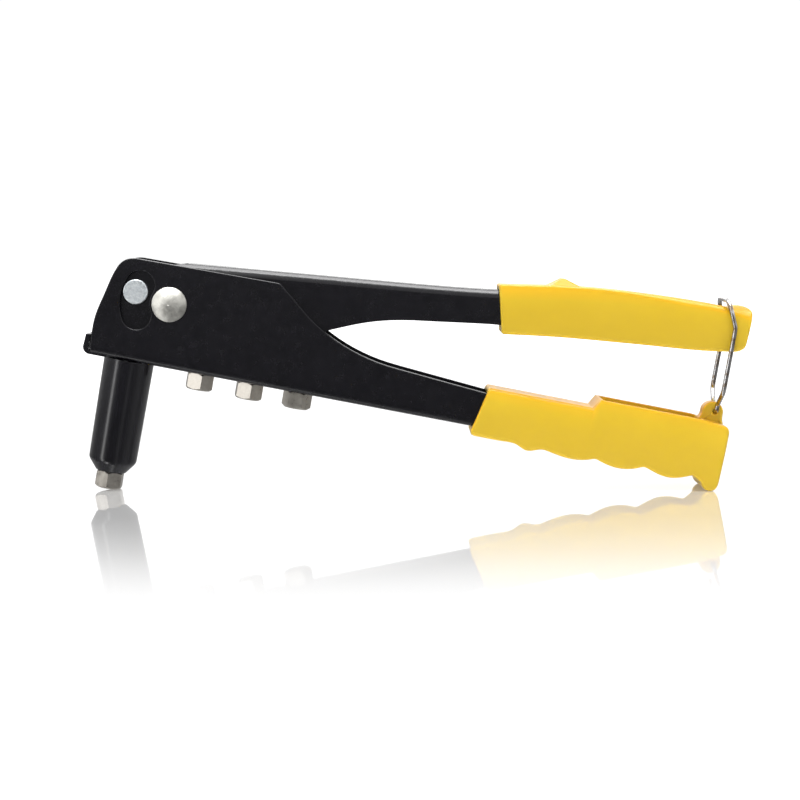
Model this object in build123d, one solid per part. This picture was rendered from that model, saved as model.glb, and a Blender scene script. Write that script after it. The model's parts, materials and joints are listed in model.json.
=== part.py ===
from build123d import *
import os
from math import sin, cos, tan, atan, atan2, radians, degrees, sqrt, pi

# Hand riveter: a pressed-steel U-channel frame with a turned barrel under its nose, a U-channel lever on one
# big rivet, a collet of three jaws drawn up the barrel by the lever, a plastic grip on each handle, three spare
# nosepieces screwed into the frame's web and a wire bail that holds the handles together.
#
# Everything is drawn first in the tool's own frame: x runs along the frame's web from the barrel towards the
# handles, y goes across, z runs up the barrel's axis, and 0,0,0 is the middle of the nosepiece's face.
# place() then leans the tool until it stands on the nosepiece and on the heel of the lower grip.
# Millimetres throughout.

# ---- driving dimensions ---------------------------------------------------------------------------------------
SHEET = 2.0              # thickness of the frame's and the lever's sheet steel
FRAME_W = 20.0           # across the outside of the frame
BEND_R = 3.0             # outside radius of the sheet bends
WEB_Z = 51.6             # underside of the frame's web on the barrel's axis
WEB_SLOPE = -0.00847     # the web falls very slightly towards the handles
ARM_END = 226.0          # end of the frame's arm, inside the lower grip

LEVER_W = 15.4           # across the outside of the lever
LEVER_END = 228.0        # end of the lever's arm, inside the upper grip
PIVOT = (13.12, 76.23)   # pivot rivet, x and z
PIN_R = 13.94            # pivot to link pin
PIN_ANGLE = 169.6        # direction of the link pin from the pivot, degrees from +x
PIVOT_SHANK_R = 3.5
PIVOT_HEAD_R = 6.8
PIN_SHANK_R = 2.5
PIN_HEAD_R = 4.8
BUSH_R = 5.0             # outside of the pivot bush
SLOT_IN, SLOT_OUT = 7.8, 19.2        # kidney slot, radii about the pivot
SLOT_A0, SLOT_A1 = 156.5, 207.5      # directions of the slot's two end centres

NOSE_AF = 10.0           # across the flats of a nosepiece
NOSE_H = 6.6             # height of its hexagon
NOSE_FACE_R = 4.55       # flat face inside its chamfer
THREAD_R = 3.0           # M6 shank
THREAD_TOP = 15.2        # end of the thread above the nosepiece's face
TIP_R, TIP_TOP = 2.4, 19.95          # slim tip that pushes the jaws open
RUN = 0.05               # radial clearance of a running fit

BARREL_R_TOP, BARREL_R_LOW = 9.8, 9.35
BARREL_Z0, BARREL_Z1 = 6.7, 51.5     # bottom face, top face under the web
CHAMFER_Z = 11.4         # where the nose of the barrel starts to taper
CHAMFER_R = 6.1
CHAMBER_R = 7.5          # chamber that the jaw case slides in

SPARES = [(28.7, 11.5, 0.85, "nosepiece_2_4"), (48.4, 11.5, 1.25, "nosepiece_4_0"), (67.6, 27.0, 1.5, "nosepiece_4_8")]

LGRIP_W = 23.6           # across the lower grip
UGRIP_W = 20.6           # across the upper grip
BAIL_R = 0.9             # bail wire radius
BAIL_HINGE = (230.3, 72.8)
BAIL_Y = 11.6            # middle of a bail leg beside the upper grip
BAIL_TOP = (225.4, 116.5)


# ---- helpers ---------------------------------------------------------------------------------------------------
def web_z(x):
    """Underside of the frame's web."""
    return WEB_Z + WEB_SLOPE * x


def prism(curve, y0, y1):
    """Solid between y0 and y1 from a closed outline drawn in x and z."""
    sk = curve if isinstance(curve, (Sketch, Face)) else make_face(curve)
    return Pos(0, y0, 0) * extrude(Plane.XZ * sk, amount=y1 - y0, dir=(0, 1, 0))


def poly(pts):
    return make_face(Polyline(*pts, close=True))


def turned(pts, x=0.0, z=0.0):
    """Solid turned about the z axis from (radius, height) points."""
    sk = Plane.XZ * make_face(Polyline(*pts, close=True))
    return Pos(x, 0, z) * revolve(sk, Axis.Z)


def rod(r, y0, y1, x, z):
    """Round bar along y."""
    return Pos(x, y0, z) * (Rot(-90, 0, 0) * Cylinder(r, y1 - y0, align=(Align.CENTER, Align.CENTER, Align.MIN)))


def soften(solid, edges, r):
    """Round edges, stepping the radius down until the kernel accepts it."""
    edges = list(edges)
    for k in (1.0, 0.85, 0.7, 0.5, 0.3):
        try:
            out = fillet(edges, r * k)
            if out.is_valid and out.volume > 0:
                if k < 1:
                    print(f"fillet {r} made at {r * k:.2f}")
                return out
        except Exception:
            continue
    print(f"fillet {r} left out")
    return solid


def at_y(solid, y, test=lambda c: True):
    """Edges lying in the plane of a side face, those whose middle passes the test."""
    out = []
    for e in solid.edges():
        b = e.bounding_box()
        if abs(b.min.Y - y) < 1e-3 and abs(b.max.Y - y) < 1e-3 and test(e.center()):
            out.append(e)
    return out


def polar(r, a):
    return (PIVOT[0] + r * cos(radians(a)), PIVOT[1] + r * sin(radians(a)))


# ---- how the tool stands ---------------------------------------------------------------------------------------
HEEL = (232.3, 45.6, 3.4)            # middle and radius of the lower grip's heel
lo, hi = radians(5), radians(15)
for _ in range(60):
    lean = (lo + hi) / 2
    nose_low = -NOSE_FACE_R * sin(lean)
    heel_low = -HEEL[0] * sin(lean) + HEEL[1] * cos(lean) - HEEL[2]
    lo, hi = (lean, hi) if heel_low > nose_low else (lo, lean)

PARTS = {}

# ---- frame -----------------------------------------------------------------------------------------------------
front = [(-14.3, 50.0), (-14.35, 53.6), (-14.75, 60.0), (-14.7, 64.0)]
cheek = (
    Polyline(*front)
    + Spline((-14.7, 64.0), (-12.2, 76.4), (-10.3, 83.8), (-8.9, 87.3), tangents=[(0.04, 1), (0.5, 1)])
    + Spline((-8.9, 87.3), (-6.5, 90.2), (-2.2, 91.55), tangents=[(0.5, 1), (1, 0.06)])
    + Line((-2.2, 91.55), (52.6, 91.95))
    + Spline((52.6, 91.95), (55.0, 91.1), (56.6, 89.75), tangents=[(1, 0), (0.79, -0.66)])
    + Line((56.6, 89.75), (66.0, 81.9))
    + Spline((66.0, 81.9), (73.9, 76.6), (82.6, 72.5), (92.65, 69.35), (105.0, 67.45), tangents=[(0.77, -0.64), (1, -0.09)])
    + Line((105.0, 67.45), (141.0, 64.2))
    + Line((141.0, 64.2), (181.0, 63.0))
    + Line((181.0, 63.0), (ARM_END, 62.0))
    + Line((ARM_END, 62.0), (ARM_END, 45.0))
    + Line((ARM_END, 45.0), (-14.3, 45.0))
    + Line((-14.3, 45.0), (-14.3, 50.0))
)
tilt = degrees(-atan(WEB_SLOPE))
length = ARM_END + 40


def trough(half, z0, r):
    """Block open upward with rounded lower edges, lying along the web."""
    b = Pos(-30, -half, z0) * Box(length, 2 * half, 60, align=(Align.MIN, Align.MIN, Align.MIN))
    b = fillet([e for e in b.edges().filter_by(Axis.X) if abs(e.center().Z - z0) < 1e-3], r)
    return Pos(0, 0, WEB_Z) * (Rot(0, tilt, 0) * b)


channel = trough(FRAME_W / 2, 0, BEND_R) - trough(FRAME_W / 2 - SHEET, SHEET, BEND_R - SHEET + 0.2)
frame = channel & prism(cheek, -20, 20)
# the web runs on past the cheeks and turns up as a stiffening tab
tab = make_face(Polyline((-8, web_z(-8)), (-17.5, web_z(-17.5)), (-16.85, 59.3), (-15.05, 59.5), (-15.62, web_z(0) + SHEET), (-8, web_z(-8) + SHEET), close=True))
tab = fillet([v for v in tab.vertices() if v.Y < 52.5 and v.X < -16], 2.8)
tab = fillet([v for v in tab.vertices() if abs(v.X + 15.62) < 0.05], 0.9)
frame += prism(tab, -9.2, 9.2)
# kidney slot that the link pin's heads move in
a0, a1 = SLOT_A0, SLOT_A1
rm, rw = (SLOT_IN + SLOT_OUT) / 2, (SLOT_OUT - SLOT_IN) / 2
pi0, pi1, pim = polar(SLOT_IN, a0), polar(SLOT_IN, a1), polar(SLOT_IN, (a0 + a1) / 2)
po0, po1, pom = polar(SLOT_OUT, a0), polar(SLOT_OUT, a1), polar(SLOT_OUT, (a0 + a1) / 2)
c0, c1 = polar(rm, a0), polar(rm, a1)
e0 = (c0[0] + rw * cos(radians(a0 - 90)), c0[1] + rw * sin(radians(a0 - 90)))
e1 = (c1[0] + rw * cos(radians(a1 + 90)), c1[1] + rw * sin(radians(a1 + 90)))
kidney = ThreePointArc(pi0, pim, pi1) + ThreePointArc(pi1, e1, po1) + ThreePointArc(po1, pom, po0) + ThreePointArc(po0, e0, pi0)
frame -= prism(kidney, -20, 20)
frame -= rod(PIVOT_SHANK_R + 0.02, -20, 20, *PIVOT)
# the head bush's hole, and drawn collars tapped for the spare nosepieces
frame -= Pos(0, 0, 50) * Cylinder(6.05, 8, align=(Align.CENTER, Align.CENTER, Align.MIN))
for x, turn, bore, name in SPARES:
    frame += Pos(x, 0, web_z(x) + SHEET - 0.6) * Cylinder(4.7, 3.0, align=(Align.CENTER, Align.CENTER, Align.MIN))
    frame -= Pos(x, 0, 45) * Cylinder(THREAD_R + RUN, 16, align=(Align.CENTER, Align.CENTER, Align.MIN))
# sheet edges are lightly broken on the outer faces
for y in (-FRAME_W / 2, FRAME_W / 2):
    frame = soften(frame, at_y(frame, y, lambda c: c.Z > 54 and c.X < 139), 0.35)
PARTS["frame"] = frame

# ---- pivot: rivet and bush --------------------------------------------------------------------------------------
def dome(r, h, y, out):
    """Low domed head standing on a face at y, on the side that out points to."""
    R = (r * r + (h - 0.7) ** 2) / (2 * (h - 0.7))
    head = turned([(0, 0), (r, 0), (r, 0.7), (0, 0.7)]) + (Pos(0, 0, 0.7 - (R - (h - 0.7))) * Sphere(R) & Pos(0, 0, 0.7) * Cylinder(r, h, align=(Align.CENTER, Align.CENTER, Align.MIN)))
    head = soften(head, [e for e in head.edges() if abs(e.center().Z - 0.7) < 0.05 and e.length > 6 * r * 0.9], 0.3)
    return Pos(PIVOT[0], y, PIVOT[1]) * (Rot(90 if out < 0 else -90, 0, 0) * head)


rivet = rod(PIVOT_SHANK_R, -FRAME_W / 2 - 0.5, FRAME_W / 2 + 0.5, *PIVOT)
rivet += dome(PIVOT_HEAD_R, 2.7, -FRAME_W / 2 - 0.02, -1)
rivet += dome(PIVOT_HEAD_R, 2.7, FRAME_W / 2 + 0.02, 1)
PARTS["pivot_rivet"] = rivet
PARTS["pivot_bush"] = rod(BUSH_R, -FRAME_W / 2 + SHEET + 0.03, FRAME_W / 2 - SHEET - 0.03, *PIVOT) - rod(PIVOT_SHANK_R + 0.03, -20, 20, *PIVOT)

# ---- lever -----------------------------------------------------------------------------------------------------
TOP = [(16.7, 92.85), (60.0, 96.8), (101.2, 100.5), (136.0, 104.2), (157.0, 107.1), (176.0, 109.4), (194.4, 110.9), (213.5, 111.6), (LEVER_END, 111.7)]
LOW = [(76.85, 77.9), (85.7, 81.6), (94.6, 84.5), (104.0, 86.5), (118.0, 88.4), (136.1, 90.8), (150.0, 92.1), (182.7, 94.9), (LEVER_END, 98.6)]
lever_out = (
    Line((0.2, 88.2), (16.7, 92.85))
    + Spline(*TOP, tangents=[(1, 0.0912), (1, 0.0)])
    + Line((LEVER_END, 111.7), (LEVER_END, 98.6))
    + Spline(*reversed(LOW), tangents=[(-1, -0.085), (-0.92, -0.39)])
    + Spline((76.85, 77.9), (60.0, 71.6), (44.0, 67.6), (22.0, 64.6), (1.0, 63.9), tangents=[(-0.92, -0.39), (-1, 0)])
    + ThreePointArc((1.0, 63.9), (1.0 - 6.3 * cos(radians(45)), 70.2 - 6.3 * sin(radians(45))), (-5.3, 70.2))
    + Line((-5.3, 70.2), (-6.8, 81.2))
    + ThreePointArc((-6.8, 81.2), (0.2 - 7 * cos(radians(45)), 81.2 + 7 * sin(radians(45))), (0.2, 88.2))
)
lever = prism(lever_out, -LEVER_W / 2, LEVER_W / 2)
lever = soften(lever, [e for y in (-LEVER_W / 2, LEVER_W / 2) for e in at_y(lever, y, lambda c: c.Z > 93 and c.X > 17 and c.X < LEVER_END - 1)], BEND_R)
inner_top = [(x, z - SHEET) for x, z in TOP]
inner_top[0] = (16.7, 92.85 - SHEET)
inner = (
    Spline(*inner_top, tangents=[(1, 0.0912), (1, 0.0)])
    + Polyline(inner_top[-1], (LEVER_END + 5, inner_top[-1][1]), (LEVER_END + 5, 50), (16.7, 50), (16.7, 92.85 - SHEET))
)
lever -= prism(inner, -LEVER_W / 2 + SHEET, LEVER_W / 2 - SHEET)
lever -= prism(poly([(-30, 40), (17.0, 40), (17.0, 120), (-30, 120)]), -LEVER_W / 2 + SHEET, LEVER_W / 2 - SHEET)
lever -= rod(BUSH_R + RUN, -20, 20, *PIVOT)
PIN = polar(PIN_R, PIN_ANGLE)
lever -= rod(PIN_SHANK_R + 0.02, -20, 20, *PIN)
PARTS["lever"] = lever

# ---- link pin, its clip, and the coupler that it lifts -----------------------------------------------------------
pin = rod(PIN_SHANK_R, -LEVER_W / 2 - 0.5, LEVER_W / 2 + 2.0, *PIN)
head = rod(PIN_HEAD_R, -LEVER_W / 2 - 2.15, -LEVER_W / 2 - 0.03, *PIN)
head = soften(head, [e for e in head.edges() if abs(e.center().Y + LEVER_W / 2 + 2.15) < 1e-3], 0.35)
pin += head
pin -= rod(PIN_SHANK_R + 1, LEVER_W / 2 + 0.1, LEVER_W / 2 + 1.0, *PIN) - rod(PIN_SHANK_R - 0.5, -20, 20, *PIN)
PARTS["link_pin"] = pin
clip = rod(PIN_HEAD_R - 0.3, LEVER_W / 2 + 0.12, LEVER_W / 2 + 0.98, *PIN) - rod(PIN_SHANK_R - 0.48, -20, 20, *PIN)
mouth = Pos(PIN[0] - 4, LEVER_W / 2 + 0.5, PIN[1]) * Box(8, 2, 2.6)
PARTS["link_pin_clip"] = clip - mouth

EYE_T = 10.8
STEM_R = 4.0
eye = prism(make_face(Polyline((-6.0, 73.0), (6.3, 73.0), (6.3, 81.0), (3.4, 84.4), (-4.4, 84.4), (-6.0, 82.4), close=True)), -EYE_T / 2, EYE_T / 2)
slot_c, slot_hx, slot_hz = 0.09, 3.53, 2.68
eye -= prism(Pos(slot_c, PIN[1]) * RectangleRounded(2 * slot_hx, 2 * slot_hz, 2.5), -20, 20)
coupler = eye + turned([(0, 44.6), (STEM_R, 44.6), (STEM_R, 73.4), (0, 73.4)])
coupler += turned([(0, 41.2), (5.5, 41.2), (5.5, 44.6), (0, 44.6)])
coupler -= Pos(0, 0, 40) * Cylinder(1.8, 34.2, align=(Align.CENTER, Align.CENTER, Align.MIN))
# mandrel outlet: the snapped mandrel drops out through the slanted end of the stem's bore
coupler -= Pos(0, 0, 74.2) * (Rot(0, 0, 0) * Cone(1.8, 0.4, 1.2, align=(Align.CENTER, Align.CENTER, Align.MIN)))
PARTS["coupler"] = coupler

# ---- jaw case, jaws, pusher, spring --------------------------------------------------------------------------------
CONE = 13.0                          # half angle of the jaw cone
CASE_Z0, CASE_Z1 = 26.0, 44.4
CONE_Z0, CONE_R0 = 27.4, 3.3         # bottom of the cone and its radius there
k = tan(radians(CONE))
CONE_Z1 = CONE_Z0 + (5.55 - CONE_R0) / k
case = turned([(3.3, CASE_Z0), (6.8, CASE_Z0), (7.35, CASE_Z0 + 0.6), (7.35, CASE_Z1 - 0.5), (6.9, CASE_Z1), (5.55, CASE_Z1), (5.55, CONE_Z1), (CONE_R0, CONE_Z0)])
PARTS["jaw_case"] = case
JAW_Z0, JAW_Z1 = 28.0, 34.6
gap = 0.06
cone_r = lambda z: CONE_R0 + (z - CONE_Z0) * k
jaw_body = turned([(1.15, JAW_Z0 + 0.9), (cone_r(JAW_Z0) - gap, JAW_Z0), (cone_r(JAW_Z1) - gap, JAW_Z1), (1.15, JAW_Z1 - 1.6)])
for i in range(5):                   # gripping teeth
    z = JAW_Z0 + 1.5 + i * 0.75
    jaw_body -= turned([(0, z - 0.3), (1.15, z - 0.3), (1.45, z), (1.15, z + 0.3), (0, z + 0.3)])
for i, name in enumerate(("jaw_a", "jaw_b", "jaw_c")):
    a = 120 * i
    wedge = Pos(0, 0, 20) * extrude(make_face(Polyline((0, 0), (20 * cos(radians(-60)), 20 * sin(radians(-60))), (40, 0), (20 * cos(radians(60)), 20 * sin(radians(60))), close=True)), amount=30)
    seg = jaw_body & (Pos(0.3, 0, 0) * wedge)
    PARTS[name] = Rot(0, 0, a) * seg
PUSH_Z1 = 37.0
PARTS["jaw_pusher"] = turned([(1.6, JAW_Z1 - 1.25), (3.0, JAW_Z1 + 0.06), (4.85, JAW_Z1 + 0.06), (4.85, JAW_Z1 + 1.0), (3.2, JAW_Z1 + 1.0), (3.2, PUSH_Z1 + 1.6), (1.6, PUSH_Z1 + 1.6)])
SP0, SP1, SP_WIRE, SP_R = JAW_Z1 + 1.05, 41.15, 0.32, 4.2
helix = Helix(pitch=(SP1 - SP0 - 2 * SP_WIRE) / 3.0, height=(SP1 - SP0 - 2 * SP_WIRE), radius=SP_R)
spring = sweep(Plane(origin=helix @ 0, z_dir=-(helix % 0)) * Circle(SP_WIRE), path=helix)
print("spring volume", spring.volume)
PARTS["jaw_spring"] = Pos(0, 0, SP0 + SP_WIRE) * spring

# ---- head bush, barrel, nosepieces ---------------------------------------------------------------------------------
web0 = WEB_Z
PARTS["head_bush"] = turned([(STEM_R + RUN, 46.0), (7.9, 46.0), (7.9, web0 - 0.12), (6.0, web0 - 0.12), (6.0, web0 + SHEET + 0.14), (7.3, web0 + SHEET + 0.14), (7.3, web0 + SHEET + 1.7), (6.9, web0 + SHEET + 2.1), (STEM_R + RUN, web0 + SHEET + 2.1)])
barrel = turned([
    (THREAD_R + RUN, BARREL_Z0), (CHAMFER_R - 0.3, BARREL_Z0), (CHAMFER_R, BARREL_Z0 + 0.25), (BARREL_R_LOW - 0.55, CHAMFER_Z - 0.95), (BARREL_R_LOW - 0.12, CHAMFER_Z - 0.15), (BARREL_R_LOW, CHAMFER_Z + 0.6),
    (BARREL_R_TOP, BARREL_Z1), (7.95, BARREL_Z1), (7.95, 45.9), (CHAMBER_R, 45.9), (CHAMBER_R, 15.0), (THREAD_R + RUN, 13.2),
])
# the barrel's top face follows the slope of the web
top_cut = prism(poly([(-15, web_z(-15) - 0.03), (15, web_z(15) - 0.03), (15, 60), (-15, 60)]), -15, 15)
PARTS["barrel"] = barrel - top_cut
lens = turned([(0, 0), (NOSE_FACE_R, 0), (NOSE_AF / 2 + 0.9, 1.05), (NOSE_AF / 2 + 0.9, NOSE_H - 0.85), (NOSE_AF / 2, NOSE_H), (0, NOSE_H)])


def nosepiece(bore, turn):
    """Hexagonal nosepiece standing on z=0: threaded shank up, then the slim tip that opens the jaws."""
    hexa = extrude(RegularPolygon(NOSE_AF / 2, 6, major_radius=False, rotation=90 + turn), amount=NOSE_H) & lens
    n = hexa + turned([(0, NOSE_H - 0.5), (THREAD_R, NOSE_H - 0.5), (THREAD_R, THREAD_TOP - 0.5), (TIP_R, THREAD_TOP), (TIP_R, TIP_TOP - 0.7), (TIP_R - 0.7, TIP_TOP), (0, TIP_TOP)])
    n -= Pos(0, 0, -1) * Cylinder(bore, 30, align=(Align.CENTER, Align.CENTER, Align.MIN))
    # shallow seat for the rivet's mandrel at the mouth
    n -= turned([(0, -0.1), (bore + 0.55, -0.1), (bore + 0.45, 0.0), (bore, 0.45), (0, 0.45)])
    return n


PARTS["nosepiece_3_2"] = nosepiece(1.05, 0)
for x, turn, bore, name in SPARES:
    PARTS[name] = Pos(x, 0, web_z(x) - 0.09 - NOSE_H) * nosepiece(bore, turn)

# ---- lower grip ------------------------------------------------------------------------------------------------------
hx, hz, hr = HEEL
bottom = (
    Spline((138.9, 47.1), (150.0, 47.05), (155.2, 46.7), tangents=[(1, 0), (1, -0.35)])
    + Spline((155.2, 46.7), (158.4, 45.3), (160.4, 45.1), tangents=[(1, -0.35), (1, 0.15)])
    + Spline((160.4, 45.1), (164.2, 46.3), (166.2, 46.55), tangents=[(1, 0.15), (1, -0.05)])
    + Spline((166.2, 46.55), (168.2, 46.2), (176.5, 44.95), (184.6, 46.1), (186.4, 46.6), tangents=[(1, -0.1), (1, 0.1)])
    + Spline((186.4, 46.6), (188.4, 46.1), (196.3, 44.65), (204.0, 46.3), (205.8, 46.9), tangents=[(1, -0.05), (1, 0.1)])
    + Spline((205.8, 46.9), (207.8, 46.4), (215.5, 44.6), (223.0, 46.3), (225.0, 47.0), tangents=[(1, -0.05), (1, 0.2)])
    + Spline((225.0, 47.0), (227.2, 45.9), (229.0, hz - 1.0), tangents=[(1, -0.25), (0.55, -1)])
)
a0 = (229.0, hz - 1.0)
grip_out = (
    bottom
    + ThreePointArc(a0, (hx, hz - hr), (hx + hr * cos(radians(-10)), hz + hr * sin(radians(-10))))
    + Line((hx + hr * cos(radians(-10)), hz + hr * sin(radians(-10))), (236.0, 64.0))
    + Spline((236.0, 64.0), (235.9, 66.6), (233.6, 68.4), tangents=[(0.02, 1), (-1, 0.35)])
    + Line((233.6, 68.4), (223.0, 69.35))
    + Line((223.0, 69.35), (184.4, 69.8))
    + Line((184.4, 69.8), (182.0, 66.0))
    + Line((182.0, 66.0), (140.6, 66.5))
    + Line((140.6, 66.5), (136.6, 48.9))
    + Spline((136.6, 48.9), (137.0, 47.6), (138.9, 47.1), tangents=[(-0.2, -1), (1, 0)])
)
lower = prism(grip_out, -LGRIP_W / 2, LGRIP_W / 2)
# seat of the frame's arm
seat = poly([(120, web_z(120) - 0.04), (ARM_END + 0.05, web_z(ARM_END) - 0.04), (ARM_END + 0.05, 62.05), (181.0, 63.05), (141.0, 64.25), (120, 66.3)])
lower -= fillet([e for e in prism(seat, -FRAME_W / 2 - 0.04, FRAME_W / 2 + 0.04).edges() if abs(e.center().Z - web_z(173)) < 0.6 and e.length > 50], 2.6)
# thumb rest: the top is sunk between two rims on the rear half, and creased along both sides of the front half
lower -= prism(poly([(186.6, 66.3), (225.0, 66.0), (225.0, 75), (185.0, 75)]), -LGRIP_W / 2 + 1.9, LGRIP_W / 2 - 1.9)
for s in (-1, 1):
    y = s * (LGRIP_W / 2 - 1.5)
    lower -= prism(poly([(130, 65.55), (181.0, 65.15), (181.0, 70), (130, 70)]), min(y, y - s * 0.9), max(y, y - s * 0.9))
# lug for the bail
LUG = (229.4, 72.3, 4.15)
lug = rod(LUG[2], -3.0, 3.0, LUG[0], LUG[1]) + prism(poly([(LUG[0] - LUG[2], 66.0), (LUG[0] + LUG[2], 66.0), (LUG[0] + LUG[2], LUG[1]), (LUG[0] - LUG[2], LUG[1])]), -3.0, 3.0)
lug = soften(lug, [e for e in lug.edges() if abs(abs(e.center().Y) - 3.0) < 0.01 and e.center().Z > 70], 0.7)
lower += lug
lower -= rod(BAIL_R + 0.08, -5, 5, *BAIL_HINGE)
PARTS["lower_grip"] = lower

# ---- upper grip ------------------------------------------------------------------------------------------------------
up_top = [(137.1, 106.6), (150.0, 108.6), (162.5, 110.5), (175.6, 112.0), (194.4, 113.3), (213.5, 113.95), (223.0, 113.95), (230.0, 113.6), (236.8, 112.6)]
up_low = [(230.5, 97.2), (220.0, 95.6), (201.3, 94.0), (182.7, 92.45), (164.2, 90.75), (141.6, 87.9)]
upper_out = (
    Spline(*up_top, tangents=[(1, 0.16), (1, -0.2)])
    + Line((236.8, 112.6), (235.0, 103.2))
    + Spline((235.0, 103.2), (233.8, 99.6), (230.5, 97.2), tangents=[(-0.19, -1), (-1, -0.2)])
    + Spline(*up_low, tangents=[(-1, -0.2), (-1, -0.13)])
    + Line((141.6, 87.9), (137.1, 106.6))
)
upper = prism(upper_out, -UGRIP_W / 2, UGRIP_W / 2)
for y in (-UGRIP_W / 2, UGRIP_W / 2):
    upper = soften(upper, at_y(upper, y, lambda c: c.Z > 108 and 150 < c.X < 230), 3.0)
for y in (-UGRIP_W / 2, UGRIP_W / 2):
    upper = soften(upper, at_y(upper, y, lambda c: c.Z < 95 and c.X > 150), 1.2)
# thumb bump: a low roof across the top
bump = prism(poly([(155.8, 108.0), (157.2, 109.9), (161.4, 113.0), (162.8, 113.25), (164.4, 112.7), (168.8, 111.4), (170.5, 109.0)]), -UGRIP_W / 2, UGRIP_W / 2)
roof = extrude(Plane.YZ * make_face(Polyline((-9.7, 106.0), (-9.7, 107.8), (-4.2, 113.4), (4.2, 113.4), (9.7, 107.8), (9.7, 106.0), close=True)), amount=300)
upper += bump & roof
# end bump behind the bail's notch, crowned so that the bail's arch can pass over it
END_TOP = 115.4
end_bump = prism(
    Spline((226.9, 113.2), (228.6, 114.7), (232.2, END_TOP), (235.0, 114.7), (236.5, 111.6), tangents=[(0.6, 1), (-0.05, -1)])
    + Polyline((236.5, 111.6), (236.2, 108.0), (226.9, 108.0), (226.9, 113.2)),
    -UGRIP_W / 2, UGRIP_W / 2,
)
crown_r = 17.0
crown = Pos(200, 0, END_TOP - crown_r) * (Rot(0, 90, 0) * Cylinder(crown_r, 60, align=(Align.CENTER, Align.CENTER, Align.MIN)))
upper += end_bump & crown
# seat of the lever's arm
seat_top = [(x, z + 0.05) for x, z in TOP[2:]]
seat_low = [(x, z - 0.05) for x, z in LOW[3:]]
seat_top[-1] = (LEVER_END + 0.05, seat_top[-1][1])
seat_low[-1] = (LEVER_END + 0.05, seat_low[-1][1])
useat = (
    Spline(*seat_top, tangents=[(1, 0.1), (1, 0.0)])
    + Line(seat_top[-1], seat_low[-1])
    + Spline(*reversed(seat_low), tangents=[(-1, -0.085), (-1, -0.18)])
    + Line(seat_low[0], seat_top[0])
)
useat = prism(useat, -LEVER_W / 2 - 0.04, LEVER_W / 2 + 0.04)
useat = soften(useat, [e for y in (-LEVER_W / 2 - 0.04, LEVER_W / 2 + 0.04) for e in at_y(useat, y, lambda c: c.Z > 101 and c.X < LEVER_END - 1)], 2.5)
upper -= useat
PARTS["upper_grip"] = upper

# ---- bail --------------------------------------------------------------------------------------------------------------
bx, bz = BAIL_HINGE
legs = [
    (bx, -0.6, bz), (bx, -4.7, bz), (bx, -4.9, bz + 3.0), (bx - 0.1, -BAIL_Y, bz + 8.4), (229.9, -BAIL_Y, 106.4), (BAIL_TOP[0], -BAIL_Y, BAIL_TOP[1]), (BAIL_TOP[0], 0, BAIL_TOP[1]),
]
left = FilletPolyline(*legs, radius=[1.3, 2.4, 4.0, 3.0, 5.6])
start = Plane(origin=left @ 0, z_dir=left % 0)
side = sweep(start * Circle(BAIL_R), path=left)
bail = side + mirror(side, about=Plane.XZ)
PARTS["bail"] = bail


# ---- stand the tool up and write ------------------------------------------------------------------------------------------
def leaned(s):
    return Rot(0, degrees(lean), 0) * s


PARTS = {n: leaned(s) for n, s in PARTS.items()}
# the tab's corner is the front of the box and the upper grip's end the back
x0 = PARTS["frame"].bounding_box().min.X
x0 = min(x0, PARTS["barrel"].bounding_box().min.X)
x1 = max(PARTS[n].bounding_box().max.X for n in ("upper_grip", "lower_grip"))
shift = (-(x0 + x1) / 2, 0, NOSE_FACE_R * sin(lean))
print("lean", degrees(lean), "shift", shift, "length", x1 - x0)
os.makedirs("parts", exist_ok=True)
for name, s in PARTS.items():
    s = Pos(*shift) * s
    solids = s.solids()
    s = solids[0] if len(solids) == 1 else Compound(solids)
    s.label = name
    export_step(s, f"parts/{name}.step")
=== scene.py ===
import bpy
import json
import math
import numpy as np
from mathutils import Matrix, Vector


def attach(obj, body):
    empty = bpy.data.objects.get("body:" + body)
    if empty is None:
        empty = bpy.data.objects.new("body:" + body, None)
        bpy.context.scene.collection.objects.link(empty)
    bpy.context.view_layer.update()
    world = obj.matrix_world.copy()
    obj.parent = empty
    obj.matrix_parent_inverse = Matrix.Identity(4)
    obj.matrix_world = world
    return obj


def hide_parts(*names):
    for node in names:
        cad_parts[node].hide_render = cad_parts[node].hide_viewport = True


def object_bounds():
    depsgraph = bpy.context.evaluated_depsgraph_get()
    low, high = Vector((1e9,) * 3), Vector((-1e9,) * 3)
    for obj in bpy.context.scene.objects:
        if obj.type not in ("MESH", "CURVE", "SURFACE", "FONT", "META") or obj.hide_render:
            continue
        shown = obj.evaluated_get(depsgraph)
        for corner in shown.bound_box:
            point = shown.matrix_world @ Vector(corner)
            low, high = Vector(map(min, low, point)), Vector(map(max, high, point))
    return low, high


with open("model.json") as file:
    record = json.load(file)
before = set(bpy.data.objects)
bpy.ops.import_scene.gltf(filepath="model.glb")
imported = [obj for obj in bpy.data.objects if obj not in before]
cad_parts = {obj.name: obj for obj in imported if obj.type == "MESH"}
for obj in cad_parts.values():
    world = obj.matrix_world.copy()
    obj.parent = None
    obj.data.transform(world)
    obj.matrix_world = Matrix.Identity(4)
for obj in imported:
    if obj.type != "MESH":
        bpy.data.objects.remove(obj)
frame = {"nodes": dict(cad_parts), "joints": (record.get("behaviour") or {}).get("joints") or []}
cad_lo, cad_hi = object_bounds()
cad_lo, cad_hi = Vector(cad_lo), Vector(cad_hi)
nodes = frame["nodes"]
scene = bpy.context.scene

# studio levels
FLOOR_EMIT, SOFT_ENV = 0.26, 0.56
GLOSS_LOW, GLOSS_MID, STRIP, ZENITH = 0.13, 0.22, 6.0, 9.0
TOP_W, KEY_W, BACK_W = 3.6, 1.5, 1.2

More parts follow.
